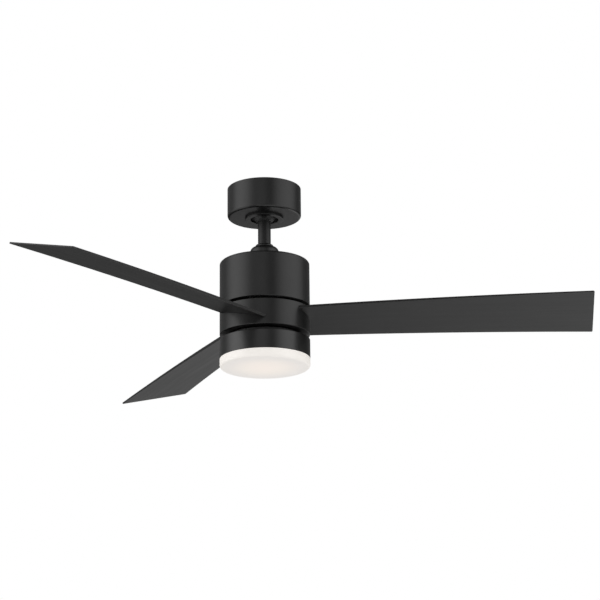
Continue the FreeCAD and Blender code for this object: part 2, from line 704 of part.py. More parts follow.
def rotor_bell():
    top = disc(BELL_RADIUS, BELL_TOP - BELL_WALL, BELL_TOP)
    wall = tube(BELL_RADIUS, BELL_RADIUS - BELL_WALL, BELL_BOTTOM, BELL_TOP)
    boss = disc(BOSS_RADIUS, BELL_TOP - BOSS_LENGTH, BELL_TOP)
    body = fuse_all([top, wall, boss])
    seat = disc(BEARING_SEAT_RADIUS, BELL_TOP - BOSS_LENGTH - 1, BELL_TOP - BELL_LIP)
    mouth = disc(BEARING_MOUTH_RADIUS, BELL_TOP - BELL_LIP - 1, BELL_TOP + 1)
    vents = ring_of(disc(VENT_RADIUS, BELL_TOP - BELL_WALL - 1, BELL_TOP + 1, VENT_R), VENT_COUNT)
    return cut_all(body, [seat, mouth] + vents + rim_screw_holes())


def rotor_magnets():
    outer = BELL_RADIUS - BELL_WALL - SNUG
    low = STATOR_BOTTOM - MAGNET_OVERHANG
    high = STATOR_TOP + MAGNET_OVERHANG
    return ring_of(sector(STATOR_RADIUS + AIR_GAP, outer, MAGNET_HALF_ANGLE, low, high), MAGNET_COUNT)


def rim_screw_spots():
    return around(BELL_RADIUS - BELL_WALL / 2.0, 6, 30)


def rim_screw_holes():
    low = BELL_BOTTOM - BASE_THICKNESS - 1
    return [disc(RIM_SCREW + SNUG, low, low + RIM_SCREW_LENGTH + 2, x, y) for x, y in rim_screw_spots()]


def hub_screw_spots():
    return around(HUB_SCREW_R, 3, BLADE_ANGLES[0] + 60)


def band_screw_spots():
    return around(BAND_SCREW_R, 3, BLADE_ANGLES[0] + 60)


def rotor_base():
    """Closes the bell from below, holds the lower bearing and carries the blade hub."""
    plate = disc(BELL_RADIUS, BELL_BOTTOM - BASE_THICKNESS, BELL_BOTTOM)
    boss = disc(BOSS_RADIUS, BELL_BOTTOM - BOSS_LENGTH, BELL_BOTTOM)
    column = disc(COLUMN_OUTER, COLUMN_BOTTOM, BELL_BOTTOM)
    column = column.cut(disc(COLUMN_INNER, COLUMN_BOTTOM - 1, BELL_BOTTOM - BASE_THICKNESS))
    body = fuse_all([plate, column, boss])
    holes = [disc(BEARING_SEAT_RADIUS, BELL_BOTTOM - BEARING_WIDTH, BELL_BOTTOM + 1),
             disc(BEARING_MOUTH_RADIUS, BELL_BOTTOM - BOSS_LENGTH - 1, BELL_BOTTOM)]
    holes += [disc(M3 + SNUG, COLUMN_BOTTOM - 1, COLUMN_BOTTOM + HUB_SCREW_BITE + 1, x, y)
              for x, y in hub_screw_spots()]
    return cut_all(body, holes + rim_screw_holes())


def rotor_screws():
    """Six screws up through the base into the rim of the bell."""
    screw = pan_screw(RIM_SCREW, RIM_SCREW_LENGTH, *RIM_SCREW_HEAD)
    return [moved(screw, x, y, BELL_BOTTOM - BASE_THICKNESS) for x, y in rim_screw_spots()]


def blade_pad():
    """Flat seat under one blade's tongue, before it is laid on the blade's plane."""
    top = -BLADE_ROOT_THICKNESS / 2.0 - GASKET
    half = TONGUE_HALF_WIDTH - 3
    return box(COLUMN_INNER + 2, PAD_END, -half, half, top - PAD_THICKNESS, top)


def blade_screw_holes():
    """Through pad, gasket and blade, on the flat blade."""
    return [disc(M4 + SNUG, -30, 10, x, y) for x, y in BLADE_SCREW_SPOTS]


def blade_hub():
    """Cast hub: a column under the rotor base with three pitched seats and a foot plate."""
    column = disc(COLUMN_OUTER, HUB_PLATE_BOTTOM, COLUMN_BOTTOM)
    plate = disc(HUB_PLATE_RADIUS, HUB_PLATE_BOTTOM, HUB_PLATE_TOP)
    half = WEB_HALF_WIDTH
    web = box(COLUMN_INNER + 2, WEB_REACH, -half, half, HUB_PLATE_BOTTOM + 1, BLADE_AXIS_Z - PAD_THICKNESS)
    webs = [turned(web, angle) for angle in BLADE_ANGLES]
    body = fuse_all([column, plate] + at_blades(blade_pad()) + webs)
    body = body.cut(disc(HUB_BORE, HUB_PLATE_BOTTOM - 1, COLUMN_BOTTOM + 1))
    for hole in blade_screw_holes():
        body = cut_all(body, at_blades(hole))
    low = HUB_PLATE_BOTTOM - 1
    holes = [disc(M3 + SNUG, low, COLUMN_BOTTOM + 1, x, y) for x, y in hub_screw_spots()]
    holes += [disc(M3 + SNUG, low, HUB_PLATE_TOP + 1, x, y) for x, y in band_screw_spots()]
    return cut_all(body, holes)


def hub_screws():
    """Three long screws up through the hub's column into the rotor base."""
    length = COLUMN_BOTTOM - HUB_PLATE_BOTTOM + HUB_SCREW_BITE - 0.5
    screw = pan_screw(M3, length, *M3_HEAD)
    return [moved(screw, x, y, HUB_PLATE_BOTTOM) for x, y in hub_screw_spots()]


def chord_edge(x, shift):
    """Distance of a blade's straight edge from its centre line."""
    return ROOT_HALF_CHORD + shift + (TIP_HALF_CHORD - ROOT_HALF_CHORD) * x / BLADE_LENGTH


def blade_outline(margin, z):
    """Wire round the blade seen square to its face, along +X, the high edge on -Y."""
    half = TONGUE_HALF_WIDTH + margin
    short = BLADE_LENGTH - TIP_SLANT

    def low(x):
        return chord_edge(x, CHORD_SHIFT) + margin

    def high(x):
        return -chord_edge(x, -CHORD_SHIFT) - margin

    corners = [
        (LOW_ROOT_R, low(LOW_ROOT_R)), (short, low(short)), (BLADE_LENGTH, high(BLADE_LENGTH)),
        (ROOT_R, high(ROOT_R)), (TONGUE_R, -half), (TONGUE_END, -half), (TONGUE_END, half),
        (LOW_ROOT_R, half)]
    points = [vec(x, y, z) for x, y in corners]
    return Part.makePolygon(points + points[:1])


def half_thickness(x):
    return (BLADE_ROOT_THICKNESS + (BLADE_TIP_THICKNESS - BLADE_ROOT_THICKNESS) * x / BLADE_LENGTH) / 2.0


def blade_side(margin):
    """Face of the blade seen from its low edge: flat at the root, then sagging in an arc."""
    def point(x, way):
        sag = max(0.0, x - SAG_START) ** 2 / (2 * SAG_RADIUS)
        return vec(x, -2 * TIP_HALF_CHORD, way * (half_thickness(x) + margin) - sag)

    middle = (SAG_START + BLADE_LENGTH) / 2.0
    over, under = [
        [point(x, way) for x in (0.0, SAG_START, middle, BLADE_LENGTH)] for way in (1, -1)]
    edges = [Part.makePolygon([over[1], over[0], under[0], under[1]]),
             Part.Arc(*under[1:]).toShape(),
             Part.makeLine(under[3], over[3]),
             Part.Arc(*over[:0:-1]).toShape()]
    return Part.Face(Part.Wire([edge for shape in edges for edge in shape.Edges]))


def blade_blank(margin=0.0):
    """Blade tapering in thickness from the axis to the tip, before it is laid in place."""
    deep = -2 * BLADE_ROOT_THICKNESS - BLADE_LENGTH ** 2 / (2 * SAG_RADIUS)
    plan = Part.Face(blade_outline(margin, deep)).extrude(vec(0, 0, -2 * deep))
    return plan.common(blade_side(margin).extrude(vec(0, 4 * TIP_HALF_CHORD, 0)))


def blade():
    blank = blade_blank()
    at_tip = [e for e in blank.Edges if e.BoundBox.XMin > BLADE_LENGTH - 2 * TIP_SLANT]
    corners = [e for e in at_tip if e.BoundBox.YLength < 0.5 and e.BoundBox.XLength < 0.5]
    blank = blank.makeFillet(TIP_CORNER, corners)
    middle = BLADE_LENGTH / 2.0
    rims = [e for e in blank.Edges if e.BoundBox.XLength > middle]
    rims += [e for e in blank.Edges if e.BoundBox.XMin > middle and e.BoundBox.YLength > TIP_HALF_CHORD]
    blank = blank.makeFillet(BLADE_EDGE, rims)
    return cut_all(blank, blade_screw_holes())


def blade_gaskets():
    top = -BLADE_ROOT_THICKNESS / 2.0
    half = TONGUE_HALF_WIDTH - 4
    sheet = box(TONGUE_END + 1, PAD_END - 1, -half, half, top - GASKET, top)
    return at_blades(cut_all(sheet, blade_screw_holes()))


def blade_screws():
    under_pad = -BLADE_ROOT_THICKNESS / 2.0 - GASKET - PAD_THICKNESS
    screw = pan_screw(M4, PAD_THICKNESS + GASKET + BLADE_ROOT_THICKNESS - 1.0, *M4_HEAD)
    screws = []
    for x, y in BLADE_SCREW_SPOTS:
        screws += at_blades(moved(screw, x, y, under_pad))
    return screws


def rotor_band():
    """Drum around the hub, closed below, with a pitched slot for each blade."""
    radius = BODY_RADIUS
    shell = lathe([
        (BAND_HOLE_RADIUS, BAND_BOTTOM, 0),
        (radius, BAND_BOTTOM, GROOVE_EDGE),
        (radius, BAND_TOP, SHEET_EDGE),
        (radius - SHEET, BAND_TOP, 0),
        (radius - SHEET, BAND_BOTTOM + SHEET, 0),
        (BAND_HOLE_RADIUS, BAND_BOTTOM + SHEET, 0)])
    slots = at_blades(blade_blank(SLOT_GAP))
    holes = [Part.makeCone(BAND_SCREW_HEAD_RADIUS + SNUG, M3 + SNUG, SHEET, vec(x, y, BAND_BOTTOM))
             for x, y in band_screw_spots()]
    return cut_all(shell, slots + holes)


def band_screws():
    """Three countersunk screws, flush with the underside of the band."""
    screw = Part.makeCone(BAND_SCREW_HEAD_RADIUS, M3, SHEET).fuse(disc(M3, SHEET, BAND_SCREW_LENGTH))
    reach = BAND_SCREW_HEAD_RADIUS + 1
    slot = box(-reach, reach, -SCREW_SLOT_HALF, SCREW_SLOT_HALF, -1, SCREW_SLOT_DEPTH)
    return [moved(screw.cut(slot), x, y, BAND_BOTTOM) for x, y in band_screw_spots()]


# ---- light kit ----------------------------------------------------------------------

LIGHT_NECK_RADIUS = 72.0
LIGHT_NECK_TOP = BAND_BOTTOM - NECK_GAP
LIGHT_NECK_HUB_RADIUS = 16.0
LIGHT_SCREW_R = 60.0
LIGHT_BOSS_RADIUS = 5.0
NUT_FLATS = 28.0
NUT_HEIGHT = 6.0
HEAT_SINK_RADIUS = 84.0
HEAT_SINK_TOP = -346.0
HEAT_SINK_THICKNESS = 3.0
POST_R = 77.5
POST_RADIUS = 4.0
BOARD_RADIUS = 70.0
BOARD_THICKNESS = 1.6
CHIP_HALF_WIDTH = 1.5
CHIP_HEIGHT = 0.8
DRIVER_HALF_LENGTH = 38.0
DRIVER_NEAR = 22.0
DRIVER_FAR = 62.0
DRIVER_HEIGHT = 18.0
HEAT_SINK_SCREW_LENGTH = 10.0
CHIP_RINGS = ((20.0, 6), (40.0, 12), (60.0, 18))
DIFFUSER_TOP = LIGHT_BOTTOM - FREE_GAP
DIFFUSER_WALL = 2.5
DIFFUSER_EDGE = 0.4
DIFFUSER_FILLET = 5.7
SPIGOT_OUTER = 85.5
SPIGOT_INNER = 83.3
SPIGOT_TOP = -352.0
LUG_REACH = 87.9
LUG_TOP = -353.5
LUG_BOTTOM = -355.5
TAB_INNER = 86.1
TAB_TOP = LUG_BOTTOM - 0.5
TAB_BOTTOM = TAB_TOP - 2.0
STOP_HALF_ANGLE = 1.2
STOP_ANGLE = -LUG_HALF_ANGLE - STOP_HALF_ANGLE - 1.5
TAB_ROOT = 0.5                # tabs and lugs reach this far into their wall
LIGHT_RING_EDGE = 0.5         # rounding of the rim above the diffuser
POST_HOLE_DEPTH = 10.0


def light_screw_spots():
    return around(LIGHT_SCREW_R, 3, 30)


def post_spots():
    return around(POST_R, 3, 90)


def light_neck():
    """Fixed drum on the shaft, between the turning band and the light ring."""
    radius = LIGHT_NECK_RADIUS
    shell = lathe([
        (SHAFT_RADIUS + SNUG, LIGHT_NECK_TOP, 0),
        (radius, LIGHT_NECK_TOP, SHEET_EDGE),
        (radius, LIGHT_TOP, 0),
        (radius - SHEET, LIGHT_TOP, 0),
        (radius - SHEET, LIGHT_NECK_TOP - SHEET, 0),
        (SHAFT_RADIUS + SNUG, LIGHT_NECK_TOP - SHEET, 0)])
    spots = light_screw_spots()
    hub = tube(LIGHT_NECK_HUB_RADIUS, SHAFT_RADIUS + SNUG, LIGHT_TOP, LIGHT_NECK_TOP - SHEET)
    bosses = [disc(LIGHT_BOSS_RADIUS, LIGHT_TOP, LIGHT_NECK_TOP - SHEET, x, y) for x, y in spots]
    body = fuse_all([shell, hub] + bosses)
    return cut_all(body, [disc(M3 + SNUG, LIGHT_TOP - 1, LIGHT_NECK_TOP - SHEET, x, y) for x, y in spots])


def light_ring():
    """Drum that carries the light, with posts for the heat sink and tabs for the diffuser."""
    radius = LIGHT_RADIUS
    inner = radius - SHEET
    shell = lathe([
        (SHAFT_RADIUS + SNUG, LIGHT_TOP, 0),
        (radius, LIGHT_TOP, GROOVE_EDGE),
        (radius, LIGHT_BOTTOM, LIGHT_RING_EDGE),
        (inner, LIGHT_BOTTOM, 0),
        (inner, LIGHT_TOP - SHEET, 0),
        (SHAFT_RADIUS + SNUG, LIGHT_TOP - SHEET, 0)])
    posts = [disc(POST_RADIUS, HEAT_SINK_TOP, LIGHT_TOP - SHEET, x, y) for x, y in post_spots()]
    tab = sector(TAB_INNER, inner + TAB_ROOT, TAB_HALF_ANGLE, TAB_BOTTOM, TAB_TOP)
    stop = sector(TAB_INNER, inner + TAB_ROOT, STOP_HALF_ANGLE, TAB_BOTTOM, LUG_TOP, STOP_ANGLE)
    body = fuse_all([shell] + posts + ring_of(tab.fuse(stop), LUG_COUNT))
    holes = [disc(M3 + SNUG, LIGHT_TOP - SHEET - 1, LIGHT_TOP + 1, x, y) for x, y in light_screw_spots()]
    hole_top = HEAT_SINK_TOP + POST_HOLE_DEPTH
    holes += [disc(M3 + SNUG, HEAT_SINK_TOP - 1, hole_top, x, y) for x, y in post_spots()]
    return cut_all(body, holes)


def light_ring_screws():
    screw = pan_screw(M3, SHORT_SCREW, *M3_HEAD)
    return [moved(screw, x, y, LIGHT_TOP - SHEET) for x, y in light_screw_spots()]


def shaft_nut():
    top = LIGHT_TOP - SHEET
    nut = hexagon(NUT_FLATS, top - NUT_HEIGHT, top)
    return nut.cut(disc(SHAFT_RADIUS + SNUG, top - NUT_HEIGHT - 1, top + 1))


def led_driver():
    case = box(-DRIVER_HALF_LENGTH, DRIVER_HALF_LENGTH, DRIVER_NEAR, DRIVER_FAR,
               HEAT_SINK_TOP, HEAT_SINK_TOP + DRIVER_HEIGHT)
    return case.makeFillet(CASE_EDGE, upright_edges(case))


def heat_sink_plate():
    plate = disc(HEAT_SINK_RADIUS, HEAT_SINK_TOP - HEAT_SINK_THICKNESS, HEAT_SINK_TOP)
    low = HEAT_SINK_TOP - HEAT_SINK_THICKNESS - 1
    return cut_all(plate, [disc(M3 + FREE_GAP, low, HEAT_SINK_TOP + 1, x, y) for x, y in post_spots()])


def heat_sink_screws():
    screw = pan_screw(M3, HEAT_SINK_SCREW_LENGTH, *M3_HEAD)
    return [moved(screw, x, y, HEAT_SINK_TOP - HEAT_SINK_THICKNESS) for x, y in post_spots()]


def led_board():
    top = HEAT_SINK_TOP - HEAT_SINK_THICKNESS
    return disc(BOARD_RADIUS, top - BOARD_THICKNESS, top)


def led_chips():
    top = HEAT_SINK_TOP - HEAT_SINK_THICKNESS - BOARD_THICKNESS
    half = CHIP_HALF_WIDTH
    chips = []
    for radius, count in CHIP_RINGS:
        chips += ring_of(box(radius - half, radius + half, -half, half, top - CHIP_HEIGHT, top), count)
    return chips


def diffuser():
    """Opal cap with a spigot and three bayonet lugs inside the light ring."""
    cavity = LIGHT_RADIUS - DIFFUSER_WALL
    floor = DIFFUSER_BOTTOM + DIFFUSER_WALL
    cap = lathe([
        (0, DIFFUSER_BOTTOM, 0),
        (LIGHT_RADIUS, DIFFUSER_BOTTOM, DIFFUSER_FILLET),
        (LIGHT_RADIUS, DIFFUSER_TOP, DIFFUSER_EDGE),
        (SPIGOT_OUTER, DIFFUSER_TOP, 0),
        (SPIGOT_OUTER, SPIGOT_TOP, 0),
        (SPIGOT_INNER, SPIGOT_TOP, 0),
        (SPIGOT_INNER, DIFFUSER_TOP - DIFFUSER_WALL, 0),
        (cavity, DIFFUSER_TOP - DIFFUSER_WALL, 0),
        (cavity, floor, DIFFUSER_FILLET - DIFFUSER_WALL),
        (0, floor, 0)])
    lug = sector(SPIGOT_OUTER - TAB_ROOT, LUG_REACH, LUG_HALF_ANGLE, LUG_BOTTOM, LUG_TOP)
    return fuse_all([cap] + ring_of(lug, LUG_COUNT))


# ---- the finished set ---------------------------------------------------------------

NODES = {
    "ceiling_plate": ceiling_plate,
    "mounting_bracket": mounting_bracket,
    "bracket_rivets": bracket_rivets,
    "control_receiver": control_receiver,
    "canopy": canopy,
    "canopy_screws": canopy_screws,
    "canopy_ring": canopy_ring,
    "ball_seat_liner": ball_seat_liner,
    "hanger_ball": hanger_ball,
    "hanger_pin": hanger_pin,
    "ball_set_screw": ball_set_screw,
    "downrod": downrod,
    "motor_leads": motor_leads,
    "coupling_cover": coupling_cover,
    "yoke": yoke,
    "clevis_pin": clevis_pin,
    "cotter_pin": cotter_pin,
    "yoke_set_screws": yoke_set_screws,
    "yoke_bolts": yoke_bolts,
    "upper_housing": upper_housing,
    "housing_floor": housing_floor,
    "housing_floor_screws": housing_floor_screws,
    "motor_shaft": motor_shaft,
    "stator_core": stator_core,
    "stator_windings": stator_windings,
    "bearing_inner_rings": bearing_inner_rings,
    "bearing_outer_rings": bearing_outer_rings,
    "bearing_balls": bearing_balls,
    "retaining_rings": retaining_rings,
    "rotor_bell": rotor_bell,
    "rotor_magnets": rotor_magnets,
    "rotor_base": rotor_base,
    "rotor_screws": rotor_screws,
    "blade_hub": blade_hub,
    "hub_screws": hub_screws,
    "rotor_band": rotor_band,
    "band_screws": band_screws,
    "blade_gaskets": blade_gaskets,
    "blade_screws": blade_screws,
    "light_neck": light_neck,
    "light_ring": light_ring,
    "light_ring_screws": light_ring_screws,
    "shaft_nut": shaft_nut,
    "led_driver": led_driver,
    "heat_sink_plate": heat_sink_plate,
    "heat_sink_screws": heat_sink_screws,
    "led_board": led_board,
    "led_chips": led_chips,
    "diffuser": diffuser,
}


def export(name, shape):
    if isinstance(shape, list):
        shape = Part.makeCompound(shape)
    print(name, len(shape.Solids), "solids", "valid" if shape.isValid() else "NOT VALID", round(shape.Volume))
    shape.exportStep("parts/" + name + ".step")


os.makedirs("parts", exist_ok=True)
for node, make in NODES.items():
    export(node, make())
for number, laid in enumerate(at_blades(blade()), start=1):
    export("blade_%d" % number, laid)
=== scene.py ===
import json
import math

import bpy
from mathutils import Matrix, Vector


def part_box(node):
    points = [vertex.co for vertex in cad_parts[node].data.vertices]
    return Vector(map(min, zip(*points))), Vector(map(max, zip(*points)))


# Ceiling fan with a light. Metres; origin at the centre of the ceiling plane, the fan hangs
# towards -Z. The CAD nodes give every place and size; this script gives the looks.

MM = 0.001
BLADE_ANGLES = (-7.28, 112.72, 232.72)     # of blade_1 to blade_3 round the axis, in degrees

# ---- camera: looks up at the fan from below ------------------------------------------

CAMERA_DISTANCE = 4.080       # in front of the fan's axis
CAMERA_HEIGHT = -1.4593       # below the ceiling plane
CAMERA_PITCH = 16.679         # degrees up
CAMERA_YAW = 0.998            # degrees to the right
CAMERA_ROLL = -0.597          # degrees
CAMERA_LENS = 126.83          # millimetres
SENSOR_WIDTH = 36.0           # millimetres
CAMERA_RANGE = 400.0          # past the floor's corners

# ---- studio --------------------------------------------------------------------------

FLOOR_HEIGHT = -8.0           # low enough for a camera well below the fan
FLOOR_SIZE = 300.0
FLOOR_GLOW = 0.6              # seen by the camera only, so that the floor stays pale
AMBIENT = 0.02                # strength of the dim room round the soft lights

# Soft lights on the backdrop. Azimuth from -Y, where the camera stands, positive to the right, elevation,
# and the half angle over which the light fades out, all in degrees; then its strength.
# These numbers and AMBIENT were not chosen by hand. They are the rounded result of a separate
# least-squares fit of brightness; only the second and third numbers of high_front and all four of
# low_side were changed afterwards.
SOFT_LIGHTS = {
    "high_front": (-8, 20, 28, 0.67),
    "left_side": (-72, -20, 63, 1.17),
    "left_core": (-71, 27, 42, 0.90),
    "right_side": (69, 7, 54, 1.31),
    "high_back": (-158, 55, 89, 0.22),
    "low_back": (163, -16, 28, 0.39),
    "low_side": (140, -52, 32, 1.65),
    "underneath": (16, -61, 65, 0.96),
}

# ---- finishes ------------------------------------------------------------------------
# A noise scale is in cells per metre: at 1000 the grain is about a millimetre wide.

NOISE_LOW = 0.3               # most of the noise lies between these two
NOISE_HIGH = 0.7

PLAIN_GLOSS_SWING = 0.04      # roughness varies by this much either way in a plain finish
COAT_GREY = (0.009, 0.012)    # powder coat, darkest and lightest
COAT_GLOSS_SWING = 0.03       # and by this much in the powder coat
COAT_PEEL = 0.018 * MM
COAT_WAVES = 0.012 * MM
HOUSING_ROUGHNESS = 0.33
RING_ROUGHNESS = 0.305        # the light ring is glossier than the housing
RING_GLOSS = 0.70
RING_PIGMENT = 0.4
ROD_ROUGHNESS = 0.42          # and the downrod is duller
ROD_GLOSS = 0.4

BLADE_GREY = (0.010, 0.015)
BLADE_ROUGHNESS = (0.35, 0.41)
BLADE_GRAIN = 0.2 * MM
BLADE_TEXTURE = 0.02 * MM
GRAIN_STRETCH = (18, 1, 1)    # along the blade
SHEEN_STRETCH = (12, 1, 1)

LAMINATIONS = 320.0           # wave scale of the stacked steel
LAMINATION_DEPTH = 0.05 * MM
TURNS = 180.0                 # wave scale of the wound wire
TURN_DEPTH = 0.2 * MM

# Glow of the diffuser from its middle to its rim: fraction of its radius, colour.
OPAL_GLOW = [
    (0.0, (0.655, 0.58, 0.525)), (0.45, (0.61, 0.557, 0.507)),
    (0.85, (0.515, 0.49, 0.47)), (1.0, (0.53, 0.50, 0.468))]
OPAL_DARK = (0.75, 0.74, 0.72)
OPAL_LIGHT = (0.77, 0.76, 0.74)
OPAL_ROUGHNESS = (0.36, 0.40)
OPAL_GRAIN = 0.004 * MM

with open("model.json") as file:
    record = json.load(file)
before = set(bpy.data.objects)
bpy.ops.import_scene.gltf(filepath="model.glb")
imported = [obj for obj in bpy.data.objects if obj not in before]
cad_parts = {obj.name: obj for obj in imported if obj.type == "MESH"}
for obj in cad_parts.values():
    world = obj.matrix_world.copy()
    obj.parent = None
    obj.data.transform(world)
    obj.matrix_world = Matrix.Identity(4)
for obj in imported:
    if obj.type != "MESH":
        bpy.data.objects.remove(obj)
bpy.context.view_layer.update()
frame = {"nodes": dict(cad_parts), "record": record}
nodes = frame["nodes"]


# ---- small helpers -------------------------------------------------------------------

def outer_radius(node):
    """Of a turned node on the fan's axis."""
    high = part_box(node)[1]
    return max(high.x, high.y)


def link(obj):
    bpy.context.scene.collection.objects.link(obj)
    return obj


def dress(obj, material):
    obj.data.materials.clear()
    obj.data.materials.append(material)


# ---- materials -----------------------------------------------------------------------

class Graph:
    """A material's nodes, all fed by the piece's own coordinates."""

    def __init__(self, name):
        self.material = bpy.data.materials.new(name)
        self.material.use_nodes = True
        self.tree = self.material.node_tree
        self.shader = self.tree.nodes["Principled BSDF"]
        self.place = self.add("ShaderNodeTexCoord").outputs["Object"]

    def add(self, kind, **settings):
        node = self.tree.nodes.new(kind)
        for key, value in settings.items():
            setattr(node, key, value)
        return node

    def join(self, source, target):
        self.tree.links.new(source, target)

    def noise(self, scale, detail=2.0, rough=0.5, stretch=(1, 1, 1), turn=0.0):
        """Noise drawn out along the piece's axes, or along axes turned about Z."""
        spot = self.place
        if stretch != (1, 1, 1):
            mapping = self.add("ShaderNodeMapping", vector_type="TEXTURE")
            mapping.inputs["Rotation"].default_value = (0, 0, math.radians(turn))
            mapping.inputs["Scale"].default_value = stretch
            self.join(self.place, mapping.inputs["Vector"])
            spot = mapping.outputs["Vector"]
        noise = self.add("ShaderNodeTexNoise")
        noise.inputs["Scale"].default_value = scale
        noise.inputs["Detail"].default_value = detail
        noise.inputs["Roughness"].default_value = rough
        self.join(spot, noise.inputs["Vector"])
        return noise.outputs["Fac"]

    def ramp(self, source, stops):
        """Colour ramp of (place, colour) stops."""
        node = self.add("ShaderNodeValToRGB")
        elements = node.color_ramp.elements
        while len(elements) < len(stops):
            elements.new(0.5)
        for element, (place, colour) in zip(elements, stops):
            element.position = place
            element.color = (*colour, 1)
        self.join(source, node.inputs["Fac"])
        return node.outputs["Color"]

    def mottle(self, source, dark, light):
        """Colour that wanders with the noise between dark and light."""
        return self.ramp(source, [(NOISE_LOW, dark), (NOISE_HIGH, light)])

    def spread(self, source, low, high):
        """Number that wanders with the noise between low and high."""
        node = self.add("ShaderNodeMapRange")
        node.inputs["From Min"].default_value = NOISE_LOW
        node.inputs["From Max"].default_value = NOISE_HIGH
        node.inputs["To Min"].default_value = low
        node.inputs["To Max"].default_value = high
        self.join(source, node.inputs["Value"])
        return node.outputs["Result"]

    def bump(self, height, depth, under=None):
        node = self.add("ShaderNodeBump")
        node.inputs["Distance"].default_value = depth
        self.join(height, node.inputs["Height"])
        if under is not None:
            self.join(under, node.inputs["Normal"])
        return node.outputs["Normal"]

    def colour(self, source):
        self.join(source, self.shader.inputs["Base Color"])

    def roughness(self, source):
        self.join(source, self.shader.inputs["Roughness"])

    def normal(self, source):
        self.join(source, self.shader.inputs["Normal"])


def grey(value):
    return (value, value, value)


def tint(colour, factor):
    return tuple(min(1.0, c * factor) for c in colour)


def plain(name, colour, rough, metallic=0.0, vary=0.15, grain=900.0, depth=0.02 * MM,
          stretch=(1, 1, 1)):
    """Mottled colour, uneven gloss and a fine surface grain."""
    graph = Graph(name)
    cloud = graph.noise(45.0, 4.0, stretch=stretch)
    graph.colour(graph.mottle(cloud, tint(colour, 1 - vary), tint(colour, 1 + vary)))
    swing = PLAIN_GLOSS_SWING
    graph.roughness(graph.spread(graph.noise(160.0, 3.0, stretch=stretch), rough - swing, rough + swing))
    graph.normal(graph.bump(graph.noise(grain, 2.0, stretch=stretch), depth))
    graph.shader.inputs["Metallic"].default_value = metallic
    return graph


def powder_coat(name, rough, gloss=0.5, pigment=1.0):
    """Matte black powder coat: a fine orange peel over a slower, shallow waviness."""
    graph = Graph(name)
    dark, light = (grey(value * pigment) for value in COAT_GREY)
    graph.colour(graph.mottle(graph.noise(30.0, 5.0), dark, light))
    swing = COAT_GLOSS_SWING
    graph.roughness(graph.spread(graph.noise(220.0, 3.0), rough - swing, rough + swing))
    graph.shader.inputs["Specular IOR Level"].default_value = gloss
    waves = graph.bump(graph.noise(260.0, 1.0), COAT_WAVES)
    graph.normal(graph.bump(graph.noise(1100.0, 2.0), COAT_PEEL, waves))
    return graph.material


def blade_finish(name, angle):
    """Matte black blade with a faint grain along its length."""
    graph = Graph(name)
    streaks = graph.noise(90.0, 3.0, stretch=GRAIN_STRETCH, turn=angle)
    graph.colour(graph.mottle(streaks, grey(BLADE_GREY[0]), grey(BLADE_GREY[1])))
    sheen = graph.noise(60.0, 3.0, stretch=SHEEN_STRETCH, turn=angle)
    graph.roughness(graph.spread(sheen, *BLADE_ROUGHNESS))
    grain = graph.bump(streaks, BLADE_GRAIN)
    graph.normal(graph.bump(graph.noise(1300.0, 2.0), BLADE_TEXTURE, grain))
    return graph.material


def opal():
    """Satin opal plastic, lit from inside and warmest in the middle."""
    graph = Graph("opal")
    apart = graph.add("ShaderNodeSeparateXYZ")
    graph.join(graph.place, apart.inputs["Vector"])
    flat = graph.add("ShaderNodeCombineXYZ")
    graph.join(apart.outputs["X"], flat.inputs["X"])
    graph.join(apart.outputs["Y"], flat.inputs["Y"])
    length = graph.add("ShaderNodeVectorMath", operation="LENGTH")
    graph.join(flat.outputs["Vector"], length.inputs[0])
    outward = graph.add("ShaderNodeMath", operation="DIVIDE")
    outward.inputs[1].default_value = outer_radius("diffuser")
    graph.join(length.outputs["Value"], outward.inputs[0])
    glow = graph.ramp(outward.outputs["Value"], OPAL_GLOW)
    graph.join(glow, graph.shader.inputs["Emission Color"])
    graph.shader.inputs["Emission Strength"].default_value = 1.0
    graph.colour(graph.mottle(graph.noise(60.0, 3.0), OPAL_DARK, OPAL_LIGHT))
    graph.roughness(graph.spread(graph.noise(200.0, 2.0), *OPAL_ROUGHNESS))
    graph.normal(graph.bump(graph.noise(900.0, 1.0), OPAL_GRAIN))
    return graph.material


def ridged(graph, direction, scale, depth):
    """Even ridges over a plain finish, in place of its grain."""
    wave = graph.add("ShaderNodeTexWave", bands_direction=direction)
    wave.inputs["Scale"].default_value = scale
    graph.join(graph.place, wave.inputs["Vector"])
    graph.normal(graph.bump(wave.outputs["Fac"], depth))
    return graph.material


def stator_steel():
    """Stacked laminations: fine ridges round the core."""
    return ridged(plain("core_steel", grey(0.30), 0.42, 1.0), "Z", LAMINATIONS, LAMINATION_DEPTH)


def copper_wire():
    """Enamelled turns, laid side by side."""
    return ridged(plain("copper_wire", (0.56, 0.21, 0.08), 0.3, 0.9), "DIAGONAL", TURNS, TURN_DEPTH)


